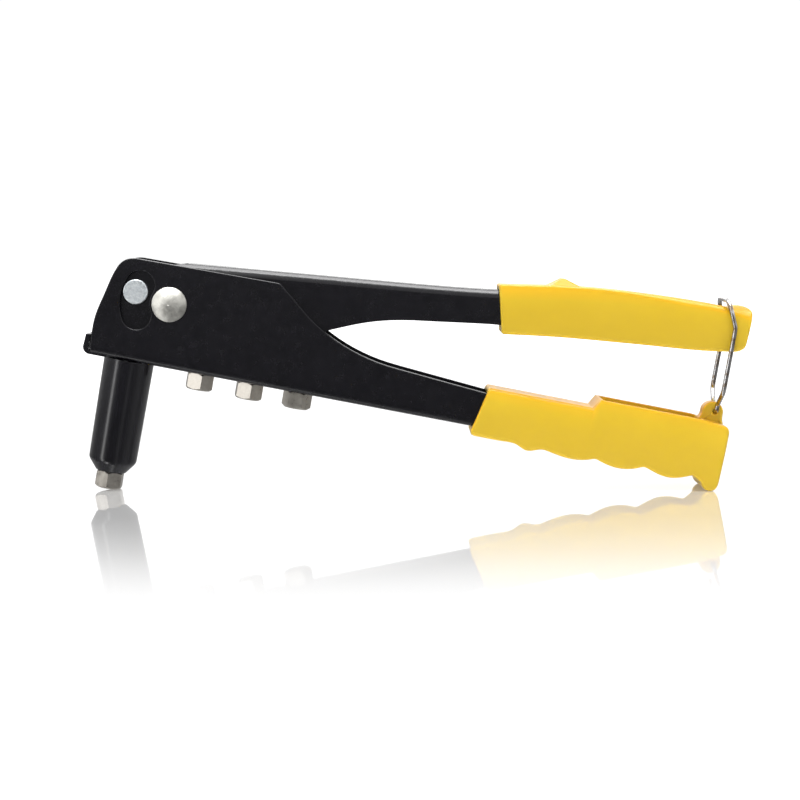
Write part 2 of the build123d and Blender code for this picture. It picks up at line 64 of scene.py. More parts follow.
# ---- the tool's own frame ----------------------------------------------------------------------------------------
# The tool is drawn along its own axes (x towards the handles, z up the barrel) and leans by the barrel's angle.
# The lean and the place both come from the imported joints: the barrel's axis and the bail's hinge.
joints = {j["name"]: j for j in frame["joints"]}
_ax = joints["nosepiece_3_2_spin"]["axis"]
LEAN = math.atan2(_ax[0], _ax[2])
_c, _s = math.cos(LEAN), math.sin(LEAN)
HINGE = (230.3, 72.8)                                   # the bail's hinge in the tool's own axes, mm
_hp = joints["bail_hinge"]["pos_m"]
OX = _hp[0] * 1000 - (HINGE[0] * _c + HINGE[1] * _s)
OZ = _hp[2] * 1000 - (-HINGE[0] * _s + HINGE[1] * _c)


def place(p):
    """Points in the tool's own axes, mm, to the row frame, metres."""
    p = np.asarray(p, float)
    out = np.empty_like(p)
    out[..., 0] = (p[..., 0] * _c + p[..., 2] * _s + OX) / 1000
    out[..., 1] = p[..., 1] / 1000
    out[..., 2] = (-p[..., 0] * _s + p[..., 2] * _c + OZ) / 1000
    return out


# ---- curves ------------------------------------------------------------------------------------------------------
def spline(pts, t0=None, t1=None, n=None):
    """Smooth curve through points in x and z, with the end directions given."""
    p = np.array(pts, float)
    h = np.hypot(*(p[1:] - p[:-1]).T)
    k = len(p)
    A = np.zeros((k, k))
    b = np.zeros((k, 2))
    for i in range(1, k - 1):
        A[i, i - 1], A[i, i], A[i, i + 1] = h[i], 2 * (h[i] + h[i - 1]), h[i - 1]
        b[i] = 3 * (h[i] * (p[i] - p[i - 1]) / h[i - 1] + h[i - 1] * (p[i + 1] - p[i]) / h[i])
    for row, t, j in ((0, t0, 1), (k - 1, t1, k - 2)):
        if t is not None:
            A[row, row] = 1
            b[row] = np.array(t, float) / np.hypot(*t)
        else:
            A[row, row], A[row, j] = 2, 1
            b[row] = 3 * abs(1) * (p[j] - p[row]) / (h[0] if row == 0 else h[-1]) * (1 if row == 0 else -1)
    m = np.linalg.solve(A, b)
    out = []
    for i in range(k - 1):
        steps = n or max(4, int(h[i] / 0.4))
        for u in np.linspace(0, 1, steps, endpoint=False):
            a00, a10 = 2 * u**3 - 3 * u**2 + 1, u**3 - 2 * u**2 + u
            a01, a11 = -2 * u**3 + 3 * u**2, u**3 - u**2
            out.append(a00 * p[i] + a10 * h[i] * m[i] + a01 * p[i + 1] + a11 * h[i] * m[i + 1])
    out.append(p[-1])
    return np.array(out)


def line(a, b, n=8):
    a, b = np.array(a, float), np.array(b, float)
    return a + (b - a) * np.linspace(0, 1, n)[:, None]


def arc(c, r, a0, a1, n=40):
    t = np.radians(np.linspace(a0, a1, n))
    return np.stack([c[0] + r * np.cos(t), c[1] + r * np.sin(t)], 1)


def smooth01(x, a, b):
    t = np.clip((np.asarray(x, float) - a) / (b - a), 0, 1)
    return t * t * (3 - 2 * t)


def soft_max(a, b, k):
    h = np.clip(0.5 + 0.5 * (a - b) / k, 0, 1)
    return b + (a - b) * h + k * h * (1 - h)


def soft_min(a, b, k):
    return -soft_max(-a, -b, k)


def cut(outline, x, slant, zref):
    """Lowest and highest point where a slanted upright line crosses a closed outline."""
    f = outline[:, 0] - x - slant * (outline[:, 1] - zref)
    g = np.roll(f, -1)
    z, w = outline[:, 1], np.roll(outline[:, 1], -1)
    hit = (f * g <= 0) & (f != g)
    zz = z[hit] + (w[hit] - z[hit]) * f[hit] / (f[hit] - g[hit])
    return zz.min(), zz.max()


def mesh_object(name, verts, faces, smooth=True):
    me = bpy.data.meshes.new(name)
    me.from_pydata([tuple(v) for v in verts], [], faces)
    me.validate()
    me.update()
    for p in me.polygons:
        p.use_smooth = smooth
    ob = bpy.data.objects.new(name, me)
    scene.collection.objects.link(ob)
    return ob


class Shell:
    """Collects closed shells built from rings of equal length."""

    def __init__(self):
        self.v, self.f = [], []

    def rings(self, rings, wrap=False, cap0=False, cap1=False):
        base = len(self.v)
        n = len(rings[0])
        for r in rings:
            self.v.extend(map(tuple, place(r)))
        m = len(rings)
        last = m if wrap else m - 1
        for i in range(last):
            a, b = base + i * n, base + ((i + 1) % m) * n
            for j in range(n):
                k = (j + 1) % n
                self.f.append((a + j, a + k, b + k, b + j))
        if cap0:
            self.f.append(tuple(base + j for j in range(n - 1, -1, -1)))
        if cap1:
            self.f.append(tuple(base + (m - 1) * n + j for j in range(n)))

    def build(self, name):
        ob = mesh_object(name, self.v, self.f)
        import bmesh
        bm = bmesh.new()
        bm.from_mesh(ob.data)
        bmesh.ops.recalc_face_normals(bm, faces=bm.faces)
        bm.to_mesh(ob.data)
        bm.free()
        for p in ob.data.polygons:
            p.use_smooth = True
        return ob


def corner(y, z, r, quadrant, n):
    """Rounded corner of a section: its middle is r in from the corner, swept a quarter turn."""
    a0 = {"low": -90, "top": 0}[quadrant]
    t = np.radians(np.linspace(a0, a0 + 90, n))
    return np.stack([y + r * np.cos(t), z + r * np.sin(t)], 1)


def mirror_ring(half):
    """Full ring from the +y half that runs from the bottom middle up to the top middle."""
    other = half[::-1].copy()
    other[:, 0] *= -1
    return np.concatenate([half, other[1:-1]])


def ring3(half, x, slant, zref):
    full = mirror_ring(half)
    return np.stack([x + slant * (full[:, 1] - zref), full[:, 0], full[:, 1]], 1)


# ---- upper grip --------------------------------------------------------------------------------------------------
UW = 10.3
u_top = spline([(137.1, 106.6), (150, 108.6), (162.5, 110.5), (175.6, 112), (194.4, 113.3), (213.5, 113.95), (223, 113.95), (230, 113.6), (236.8, 112.6)], (1, 0.16), (1, -0.2))
u_low = spline([(141.6, 87.9), (164.2, 90.75), (182.7, 92.45), (201.3, 94), (220, 95.6), (230.5, 97.2)], (1, 0.13), (1, 0.2))
u_end = spline([(230.5, 97.2), (233.8, 99.6), (235, 103.2)], (1, 0.2), (0.19, 1), n=24)
u_out = np.concatenate([u_top[:-1], line((236.8, 112.6), (235, 103.2))[:-1], u_end[::-1][:-1], u_low[::-1][:-1], line((141.6, 87.9), (137.1, 106.6))[:-1]])
_low = (u_out[:, 1] < 112.0) & (u_out[:, 0] > 222)
u_out[_low, 0] += [1.9 * float(smooth01(px, 226, 235)) * float(1 - 0.55 * smooth01(pz, 103, 112.6)) for px, pz in u_out[_low]]
U_X0, U_X1 = 139.25, 235.7
U_SLANT0, U_SLANT1 = -0.2406, 0.03


def u_bump(x, y, base):
    """Height of the upper grip's top: the thumb bump and the end bump rise out of it."""
    y = np.abs(y)
    prof = np.interp(x, [150, 155.8, 161.2, 162.6, 164.2, 168.9, 176], [104.2, 108.9, 113.15, 113.35, 112.75, 111.35, 108.9])
    roof = np.interp(y, [0, 3.9, 9.6], [113.5, 113.35, 109.5])
    z = soft_max(base, soft_min(prof, roof, 0.35), 0.3)
    ends = np.interp(x, [224.0, 226.9, 228.7, 230.4, 232.2, 233.8, 235.0, 236.0, 237.5], [80.0, 113.0, 114.75, 115.2, 115.35, 115.2, 114.7, 113.6, 110.5])
    crown = 115.4 - 17.0 + np.sqrt(np.maximum(17.0**2 - y**2, 1.0))
    return soft_max(z, soft_min(ends, crown, 0.3), 0.35)


def belly(z, zb, zt, low, high):
    """How far a moulded side draws in towards its lower and upper edge."""
    u = 2 * (z - zb) / (zt - zb) - 1
    return np.where(u < 0, low * u * u, high * np.abs(u) ** 2.2)


def upper_half(x, t, inset=0.0, inner=False):
    slant = (1 - smooth01(t, 0, 0.35)) * U_SLANT0 + smooth01(t, 0.72, 0.97) * U_SLANT1
    zb, zt = cut(u_out, x, slant, 98.0)
    zb, zt, w = zb + inset, zt - inset, UW - inset
    rt = 0.7 + 1.7 * float(smooth01(x, 175, 215))
    rt = max(rt - inset * 0.6, 0.25)
    rb = max(1.3 - inset * 0.6, 0.25)
    crown = lambda z: belly(z, zb, zt, 0.35, 1.25 - 0.35 * float(smooth01(x, 150, 205)))
    ys = np.linspace(0, 1, 10)[:-1] * (w - rb - 0.35)
    bottom = np.stack([ys, np.full_like(ys, zb)], 1)
    lowc = corner(w - rb, zb + rb, rb, "low", 9)
    topc = corner(w - rt, zt - rt, rt, "top", 12)
    lowc[:, 0] -= crown(lowc[:, 1])
    topc[:, 0] -= crown(topc[:, 1])
    zs = np.linspace(zb + rb, zt - rt, 24)[1:-1]
    side = np.stack([w - crown(zs), zs], 1)
    yt = topc[-1, 0] * (1 - np.linspace(0, 1, 34)[1:])
    top = np.stack([yt, np.full_like(yt, zt)], 1)
    # the thumb bump and the end bump rise out of the top, shaped across by u_bump
    half = np.concatenate([bottom, lowc, side, topc, top])
    up = half[:, 1] > zt - rt * 0.999
    base = half[up, 1]
    xx = x + slant * (base - 98.0)
    rise = u_bump(xx, half[up, 0], np.full(up.sum(), zt + inset)) - (zt + inset)
    rise = rise * smooth01(base, zt - rt, zt - rt * 0.1)
    half[up, 1] = base + rise
    return half, slant


def u_cavity(x, t):
    """Section of the socket that the lever's arm fills."""
    lt = [(101.2, 100.5), (136, 104.2), (157, 107.1), (176, 109.4), (194.4, 110.9), (213.5, 111.6), (228, 111.7)]
    ll = [(104, 86.5), (118, 88.4), (136.1, 90.8), (150, 92.1), (182.7, 94.9), (228, 98.6)]
    slant = (1 - smooth01(t, 0, 0.35)) * U_SLANT0
    zt = np.interp(x, *zip(*lt)) + 0.06
    zb = np.interp(x, *zip(*ll)) - 0.06
    return zb, zt, slant


def rect_half(w, zb, zt, rb, rt, counts):
    nb, nl, ns, nt, ntop = counts
    ys = np.linspace(0, 1, nb + 1)[:-1] * (w - rb)
    bottom = np.stack([ys, np.full_like(ys, zb)], 1)
    lowc = corner(w - rb, zb + rb, rb, "low", nl)
    zs = np.linspace(zb + rb, zt - rt, ns + 2)[1:-1]
    side = np.stack([np.full_like(zs, w), zs], 1)
    topc = corner(w - rt, zt - rt, rt, "top", nt)
    yt = (w - rt) * (1 - np.linspace(0, 1, ntop + 1)[1:])
    top = np.stack([yt, np.full_like(yt, zt)], 1)
    return np.concatenate([bottom, lowc, side, topc, top])


def spaced(*parts):
    out = []
    for a, b, d in parts:
        out.extend(np.linspace(a, b, max(2, int(round((b - a) / d)) + 1))[:-1])
    out.append(parts[-1][1])
    return np.array(out)


def make_upper_grip():
    sh = Shell()
    rings = []
    R = 0.9
    span = U_X1 - U_X0
    tt = lambda x: (x - U_X0) / span
    for a in np.radians([0, 15, 30, 45, 60, 75]):
        x, d = U_X0 + R * (1 - math.cos(a)), R * (1 - math.sin(a))
        h, s = upper_half(x, tt(x), d)
        rings.append(ring3(h, x, s, 98.0))
    RE = 0.8
    xs = spaced((U_X0 + R, 153.5, 1.2), (153.5, 172.5, 0.42), (172.5, 222.5, 1.6), (222.5, U_X1 - RE, 0.45))
    for x in xs:
        h, s = upper_half(x, tt(x), 0)
        rings.append(ring3(h, x, s, 98.0))
    for a in np.radians([80, 70, 60, 50, 40, 30, 20, 10, 0]):
        x, d = U_X1 - RE * (1 - math.cos(a)), RE * (1 - math.sin(a))
        h, s = upper_half(x, tt(x), d)
        rings.append(ring3(h, x, s, 98.0))
    # inside: the socket, from its blind end back out to the mouth, so the shell closes at the lip
    inner = []
    counts = (9, 9, 22, 12, 33)
    for x in [U_X0, U_X0 + 0.35] + list(np.linspace(U_X0 + 3, 228.0, 30)):
        zb, zt, s = u_cavity(x, tt(x))
        h = rect_half(7.74, zb, zt, 0.3, 2.4, counts)
        inner.append(ring3(h, x, s, 98.0))
    sh.rings(inner[::-1] + rings, cap0=True, cap1=True)
    return sh.build("upper_grip_moulding")


# ---- lower grip --------------------------------------------------------------------------------------------------
LW = 11.8
HX, HZ, HR = 232.3, 45.6, 3.4
l_bot = np.concatenate([
    spline([(138.9, 47.1), (150, 47.05), (155.2, 46.7)], (1, 0), (1, -0.35))[:-1],
    spline([(155.2, 46.7), (158.4, 45.3), (160.4, 45.1)], (1, -0.35), (1, 0.15))[:-1],
    spline([(160.4, 45.1), (164.2, 46.3), (166.2, 46.55)], (1, 0.15), (1, -0.05))[:-1],
    spline([(166.2, 46.55), (168.2, 46.2), (176.5, 44.95), (184.6, 46.1), (186.4, 46.6)], (1, -0.1), (1, 0.1))[:-1],
    spline([(186.4, 46.6), (188.4, 46.1), (196.3, 44.65), (204, 46.3), (205.8, 46.9)], (1, -0.05), (1, 0.1))[:-1],
    spline([(205.8, 46.9), (207.8, 46.4), (215.5, 44.6), (223, 46.3), (225, 47)], (1, -0.05), (1, 0.2))[:-1],
    spline([(225, 47), (227.2, 45.9), (229, HZ - 1.0)], (1, -0.25), (0.55, -1))[:-1],
    arc((HX, HZ), HR, 197, 350),
])
l_out = np.concatenate([
    l_bot,
    line(l_bot[-1], (236, 64))[1:-1],
    spline([(236, 64), (235.9, 66.6), (233.6, 68.4)], (0.02, 1), (-1, 0.35), n=16)[:-1],
    line((233.6, 68.4), (223, 69.35))[:-1],
    line((223, 69.35), (184.4, 69.8))[:-1],
    line((184.4, 69.8), (182, 66))[:-1],
    line((182, 66), (140.6, 66.5))[:-1],
    line((140.6, 66.5), (136.6, 48.9))[:-1],
    spline([(136.6, 48.9), (137, 47.6), (138.9, 47.1)], (-0.2, -1), (1, 0), n=12)[:-1],
])
L_X0, L_X1 = 138.68, 235.83
L_SLANT = 0.2273


def lower_half(x, t, inset=0.0):
    slant = (1 - smooth01(t, 0, 0.4)) * L_SLANT + smooth01(t, 0.9, 1.0) * 0.018
    zb, zt = cut(l_out, x, slant, 57.7)
    zb, zt, w = zb + inset, zt - inset, LW - inset
    rb = min(max(1.2 - inset * 0.6, 0.25), (zt - zb) / 3)
    rt = max(0.55 - inset * 0.4, 0.15)
    xt = x + slant * (zt - 57.7)
    crown = lambda z: belly(z, zb, zt, 0.35, 0.95)
    # what the top looks like here: creased pad, solid bridge, or the sunk thumb rest
    front = 1 - float(np.clip((xt - 182.0) / 2.4, 0, 1))
    sunk = float(np.clip((xt - 185.5) / 1.1, 0, 1)) * (1 - float(np.clip((xt - 224.9) / 0.25, 0, 1)))
    zf = 66.25 * sunk + zt * (1 - sunk)
    zr = zt - 0.40 * front - 0.0
    ys = np.linspace(0, 1, 10)[:-1] * (w - rb - 0.42)
    bottom = np.stack([ys, np.full_like(ys, zb)], 1)
    lowc = corner(w - rb, zb + rb, rb, "low", 9)
    topc = corner(w - rt, zr - rt, rt, "top", 7)
    lowc[:, 0] -= crown(lowc[:, 1])
    topc[:, 0] -= crown(topc[:, 1])
    zs = np.linspace(zb + rb, zr - rt, 26)[1:-1]
    side = np.stack([w - crown(zs), zs], 1)
    wi = 9.35
    rear = np.array([
        (wi + 0.42, zt), (wi + 0.14, zt - 0.06 * sunk), (wi + 0.03, zt - 0.22 * sunk), (wi, zt - 0.5 * sunk),
        (wi - 0.01, zf + 0.55 * sunk), (wi - 0.13, zf + 0.2 * sunk), (wi - 0.42, zf + 0.04 * sunk), (wi - 0.95, zf),
        (7.6, zf), (6.4, zf), (4.8, zf), (3.2, zf), (1.6, zf), (0, zf),
    ])
    zg = zt - 1.15
    fr = np.array([
        (9.90, zr), (9.76, zr - 0.06), (9.68, zr - 0.18), (9.64, zg),
        (9.10, zg), (9.00, zg + 0.12), (8.92, zt - 0.3), (8.66, zt - 0.02),
        (7.6, zt), (6.4, zt), (4.8, zt), (3.2, zt), (1.6, zt), (0, zt),
    ])
    top = rear * (1 - front) + fr * front
    top[:, 1] -= 0.0
    return np.concatenate([bottom, lowc, side, topc, top]), slant


def l_cavity(x, t):
    slant = (1 - smooth01(t, 0, 0.4)) * L_SLANT
    zb = 51.6 - 0.00847 * x - 0.05
    zt = np.interp(x, [105, 141, 181, 226, 230], [67.45, 64.2, 63.0, 62.0, 61.9]) + 0.06
    return zb, zt, slant


def make_lower_grip():
    sh = Shell()
    span = L_X1 - L_X0
    tt = lambda x: (x - L_X0) / span
    rings = []
    R = 0.8
    for a in np.radians([0, 15, 30, 45, 60, 75]):
        x, d = L_X0 + R * (1 - math.cos(a)), R * (1 - math.sin(a))
        h, s = lower_half(x, tt(x), d)
        rings.append(ring3(h, x, s, 57.7))
    RE = 1.3
    xs = spaced((L_X0 + R, 154, 1.0), (154, 180, 0.6), (180, 187.5, 0.16), (187.5, 190.5, 0.5), (190.5, 204, 0.8), (204, 208, 0.4), (208, 223, 0.8), (223, 228.6, 0.22), (228.6, 230.2, 0.1), (230.2, L_X1 - RE, 0.3))
    for x in xs:
        h, s = lower_half(x, tt(x), 0)
        rings.append(ring3(h, x, s, 57.7))
    for a in np.radians([80, 70, 60, 50, 40, 30, 20, 10, 0]):
        x, d = L_X1 - RE * (1 - math.cos(a)), RE * (1 - math.sin(a))
        h, s = lower_half(x, tt(x), d)
        rings.append(ring3(h, x, s, 57.7))
    counts = (9, 9, 24, 7, 14)
    inner = []
    for x in [L_X0, L_X0 + 0.35] + list(np.linspace(L_X0 + 3, 226.0, 30)):
        zb, zt, s = l_cavity(x, tt(x))
        h = rect_half(10.04, zb, zt, 2.7, 0.3, counts)
        inner.append(ring3(h, x, s, 57.7))
    sh.rings(inner[::-1] + rings, cap0=True, cap1=True)
    # lug that carries the bail
    cx, cz, r = 229.4, 72.3, 4.15
    prof = np.concatenate([
        arc((cx, cz), r, 168, 12, 40),
        spline([(cx + r * math.cos(math.radians(12)), cz + r * math.sin(math.radians(12))), (cx + r + 0.02, cz - 1.2), (cx + r + 0.75, 68.6)], (0.2, -1), (0.7, -1), n=8)[1:],
        line((cx + r + 0.75, 68.2), (cx + r + 0.75, 66.4), 4),
        line((cx - r - 0.95, 66.4), (cx - r - 0.95, 68.7), 4),
        spline([(cx - r - 0.95, 69.2), (cx - r - 0.02, cz - 1.2), (cx + r * math.cos(math.radians(168)), cz + r * math.sin(math.radians(168)))], (0.7, 1), (0.2, 1), n=8)[1:-1],
    ])
    # even out the number of points round the lug and its hole
    d = np.hypot(*(np.roll(prof, -1, 0) - prof).T)
    keep = d > 1e-4
    prof, d = prof[keep], d[keep]
    cum = np.concatenate([[0], np.cumsum(d)])
    M = 96
    tpos = np.linspace(0, cum[-1], M, endpoint=False)
    closed = np.concatenate([prof, prof[:1]])
    prof = np.stack([np.interp(tpos, cum, closed[:, 0]), np.interp(tpos, cum, closed[:, 1])], 1)
    mid = np.array([cx, cz])
    hole = np.array(HINGE)
    ang = np.unwrap(np.arctan2(prof[:, 1] - hole[1], prof[:, 0] - hole[0]))
    ringh = lambda rad: np.stack([hole[0] + rad * np.cos(ang), hole[1] + rad * np.sin(ang)], 1)
    tang = np.roll(prof, -1, 0) - np.roll(prof, 1, 0)
    tang /= np.hypot(*tang.T)[:, None]
    nrm = np.stack([tang[:, 1], -tang[:, 0]], 1)
    if ((prof - mid) * nrm).sum() < 0:
        nrm = -nrm
    loops = []
    put = lambda q, y: np.stack([q[:, 0], np.full(len(q), y), q[:, 1]], 1)
    rr, yh = 0.75, 3.0
    for a in np.radians([0, 18, 36, 54, 72, 90]):
        loops.append(put(prof - nrm * rr * (1 - math.sin(a)), -(yh - rr * (1 - math.cos(a)))))
    for a in np.radians([90, 72, 54, 36, 18, 0]):
        loops.append(put(prof - nrm * rr * (1 - math.sin(a)), yh - rr * (1 - math.cos(a))))
    loops += [put(ringh(2.0), yh), put(ringh(1.25), yh), put(ringh(1.02), yh - 0.22), put(ringh(1.0), yh - 0.6), put(ringh(1.0), -yh + 0.6), put(ringh(1.02), -yh + 0.22), put(ringh(1.25), -yh), put(ringh(2.0), -yh)]
    sh.rings(loops, wrap=True)
    return sh.build("lower_grip_moulding")


# ---- materials ---------------------------------------------------------------------------------------------------
class Mat:
    """Small helper that wires a procedural material round one Principled shader."""

    def __init__(self, name):
        self.m = bpy.data.materials.new(name)
        self.m.use_nodes = True
        self.t = self.m.node_tree
        self.t.nodes.clear()
        self.out = self.t.nodes.new("ShaderNodeOutputMaterial")
        self.p = self.t.nodes.new("ShaderNodeBsdfPrincipled")
        self.t.links.new(self.p.outputs[0], self.out.inputs[0])
        self.co = self.t.nodes.new("ShaderNodeTexCoord").outputs["Object"]

    def set(self, **kw):
        names = {"rough": "Roughness", "metal": "Metallic", "ior": "IOR", "spec": "Specular IOR Level", "coat": "Coat Weight", "coat_rough": "Coat Roughness", "base": "Base Color", "sss": "Subsurface Weight", "sss_scale": "Subsurface Scale", "aniso": "Anisotropic", "sheen": "Sheen Weight"}
        for k, v in kw.items():
            s = self.p.inputs[names[k]]
            s.default_value = (*v, 1) if isinstance(v, tuple) and len(v) == 3 else v
        return self

    def link(self, a, b):
        self.t.links.new(a, b)

    def axes(self, scale=(1, 1, 1)):
        """Object coordinates turned into the tool's own axes, stretched by scale."""
        n = self.t.nodes.new("ShaderNodeMapping")
        n.inputs["Rotation"].default_value = (0, LEAN, 0)
        n.vector_type = "TEXTURE"
        self.link(self.co, n.inputs["Vector"])
        k = self.t.nodes.new("ShaderNodeVectorMath")
        k.operation = "MULTIPLY"
        self.link(n.outputs[0], k.inputs[0])
        k.inputs[1].default_value = scale
        return k.outputs[0]

    def noise(self, scale, detail=3, rough=0.55, vec=None, distort=0.0):
        n = self.t.nodes.new("ShaderNodeTexNoise")
        n.inputs["Scale"].default_value = scale
        n.inputs["Detail"].default_value = detail
        n.inputs["Roughness"].default_value = rough
        n.inputs["Distortion"].default_value = distort
        self.link(vec if vec is not None else self.co, n.inputs["Vector"])
        return n.outputs["Fac"]

    def cells(self, scale, vec=None, feature="F1"):
        n = self.t.nodes.new("ShaderNodeTexVoronoi")
        n.feature = feature
        n.inputs["Scale"].default_value = scale
        self.link(vec if vec is not None else self.co, n.inputs["Vector"])
        return n.outputs["Distance"]

    def ramp(self, fac, stops):
        n = self.t.nodes.new("ShaderNodeValToRGB")
        el = n.color_ramp.elements
        while len(el) > 1:
            el.remove(el[-1])
        el[0].position, el[0].color = stops[0][0], (*stops[0][1], 1)
        for pos, col in stops[1:]:
            e = el.new(pos)
            e.color = (*col, 1)
        self.link(fac, n.inputs[0])
        return n.outputs[0]

    def rng(self, fac, a, b, lo=0.0, hi=1.0):
        n = self.t.nodes.new("ShaderNodeMapRange")
        n.inputs["From Min"].default_value, n.inputs["From Max"].default_value = lo, hi
        n.inputs["To Min"].default_value, n.inputs["To Max"].default_value = a, b
        self.link(fac, n.inputs["Value"])
        return n.outputs[0]

    def math(self, op, a, b=None):
        n = self.t.nodes.new("ShaderNodeMath")
        n.operation = op
        for i, v in enumerate((a, b)):
            if v is None:
                continue
            if isinstance(v, (int, float)):
                n.inputs[i].default_value = v
            else:
                self.link(v, n.inputs[i])
        return n.outputs[0]

    def mix(self, fac, a, b, mode="MIX"):
        n = self.t.nodes.new("ShaderNodeMix")
        n.data_type = "RGBA"
        n.blend_type = mode
        for s, v in ((0, fac), (6, a), (7, b)):
            if isinstance(v, tuple):
                n.inputs[s].default_value = (*v, 1)
            elif isinstance(v, (int, float)):
                n.inputs[s].default_value = v
            else:
                self.link(v, n.inputs[s])
        return n.outputs[2]

    def bump(self, height, strength, dist, prev=None):
        n = self.t.nodes.new("ShaderNodeBump")
        n.inputs["Strength"].default_value = strength
        n.inputs["Distance"].default_value = dist
        self.link(height, n.inputs["Height"])
        if prev is not None:
            self.link(prev, n.inputs["Normal"])
        return n.outputs[0]

    def edge(self, radius, lo=0.02, hi=0.22):
        """Mask that is 1 along outside and inside edges, from a bevelled normal."""
        b = self.t.nodes.new("ShaderNodeBevel")
        b.samples = 4
        b.inputs["Radius"].default_value = radius
        g = self.t.nodes.new("ShaderNodeNewGeometry")
        d = self.t.nodes.new("ShaderNodeVectorMath")
        d.operation = "DOT_PRODUCT"
        self.link(b.outputs[0], d.inputs[0])
        self.link(g.outputs["True Normal"], d.inputs[1])
        inv = self.math("SUBTRACT", 1.0, d.outputs["Value"])
        return self.rng(inv, 0, 1, lo, hi)

    def done(self, base=None, rough=None, normal=None):
        if base is not None:
            self.link(base, self.p.inputs["Base Color"])
        if rough is not None:
            self.link(rough, self.p.inputs["Roughness"])
        if normal is not None:
            self.link(normal, self.p.inputs["Normal"])
        return self.m


def black_paint():
    m = Mat("black_paint")
    m.set(ior=1.5, spec=0.40)
    cloud = m.noise(140, 4, 0.6)
    grain = m.noise(2600, 2, 0.5)
    base = m.ramp(cloud, [(0.3, (0.0026, 0.0024, 0.0042)), (0.7, (0.0048, 0.0044, 0.0068))])
    specks = m.rng(m.cells(900), 1, 0, 0.03, 0.16)
    pick = m.rng(m.noise(210, 2, 0.5), 0, 1, 0.58, 0.66)
    dust = m.math("MULTIPLY", specks, pick)
    base = m.mix(m.math("MULTIPLY", dust, 0.35), base, (0.06, 0.058, 0.06))
    # edge wear and painted highlight: edges are painted lighter in patches, partly as worn paint and partly as the
    # light line that rounded edges catch
    worn = m.edge(0.00035)
    chips_and_edge_highlight = m.math("MULTIPLY", worn, m.rng(m.noise(520, 3, 0.6), 0, 1, 0.52, 0.66))
    base = m.mix(m.math("MULTIPLY", chips_and_edge_highlight, 0.55), base, (0.10, 0.095, 0.095))
    rough = m.rng(m.noise(320, 3, 0.6), 0.20, 0.29, 0.3, 0.7)
    n = m.bump(grain, 0.10, 0.00003)
    n = m.bump(m.noise(700, 2, 0.5), 0.10, 0.00008, n)
    return m.done(base, rough, n)


def barrel_black():
    m = Mat("barrel_black")
    m.set(ior=1.5, spec=0.5)
    rings = m.noise(60, 4, 0.7, m.axes((4, 4, 90)))
    base = m.ramp(m.noise(160, 3, 0.6), [(0.3, (0.0030, 0.0028, 0.0046)), (0.7, (0.0052, 0.0049, 0.0072))])
    worn = m.math("MULTIPLY", m.edge(0.0004), m.rng(m.noise(480, 3, 0.6), 0, 1, 0.5, 0.65))
    base = m.mix(m.math("MULTIPLY", worn, 0.5), base, (0.11, 0.105, 0.10))
    rough = m.rng(m.noise(420, 3, 0.6), 0.15, 0.21, 0.3, 0.7)
    n = m.bump(rings, 0.05, 0.00003)
    n = m.bump(m.noise(1500, 2, 0.5), 0.03, 0.00003, n)
    return m.done(base, rough, n)


def nickel(name, light, dark, r0, r1, spots=240, dent=0.25):
    m = Mat(name)
    m.set(metal=1.0)
    cloud = m.noise(spots, 5, 0.65, distort=0.4)
    fine = m.noise(spots * 9, 3, 0.6)
    base = m.ramp(cloud, [(0.32, dark), (0.68, light)])
    base = m.mix(m.rng(fine, 0, 0.35, 0.45, 0.75), base, tuple(c * 0.72 for c in light))
    # painted highlight: edges are painted brighter than the faces
    painted_edge_glint = m.edge(0.0003)
    base = m.mix(m.math("MULTIPLY", painted_edge_glint, 0.5), base, tuple(min(1, c * 1.18) for c in light))
    rough = m.rng(cloud, r0, r1, 0.3, 0.7)
    n = m.bump(cloud, dent, 0.00005)
    n = m.bump(fine, 0.15, 0.00002, n)
    return m.done(base, rough, n)


def pin_zinc():
    m = Mat("pin_zinc")
    m.set(metal=1.0)
    grain = m.noise(900, 5, 0.7, distort=0.6)
    cells = m.cells(1300)
    base = m.ramp(grain, [(0.3, (0.56, 0.60, 0.62)), (0.55, (0.84, 0.88, 0.89)), (0.75, (0.96, 0.98, 0.98))])
    base = m.mix(m.rng(cells, 0, 0.25, 0.2, 0.6), base, (0.45, 0.50, 0.57))
    rough = m.rng(grain, 0.38, 0.55, 0.3, 0.7)
    n = m.bump(grain, 0.35, 0.00005)
    n = m.bump(cells, 0.15, 0.00004, n)
    return m.done(base, rough, n)


def turned_steel(name, light, dark, r0, r1):
    m = Mat(name)
    m.set(metal=1.0)
    rings = m.noise(90, 4, 0.7, m.axes((3, 3, 110)))
    cloud = m.noise(350, 4, 0.6)
    base = m.ramp(cloud, [(0.3, dark), (0.7, light)])
    base = m.mix(m.rng(rings, 0, 0.25, 0.4, 0.7), base, tuple(c * 0.7 for c in light))
    rough = m.rng(cloud, r0, r1, 0.3, 0.7)
    n = m.bump(rings, 0.2, 0.00004)
    return m.done(base, rough, n)


def bail_chrome():
    m = Mat("bail_chrome")
    m.set(metal=1.0)
    # darker and lighter streaks, stretched along the tool's upright axis
    streak_bands = m.noise(260, 3, 0.6, m.axes((5, 5, 0.6)))
    base = m.ramp(streak_bands, [(0.35, (0.34, 0.33, 0.33)), (0.65, (0.56, 0.55, 0.54))])
    stain = m.rng(m.noise(330, 3, 0.6), 0, 0.8, 0.50, 0.60)
    base = m.mix(stain, base, (0.22, 0.16, 0.11))
    rough = m.rng(m.noise(700, 3, 0.6), 0.10, 0.24, 0.3, 0.7)
    n = m.bump(m.noise(1400, 3, 0.6), 0.12, 0.00004)
    return m.done(base, rough, n)


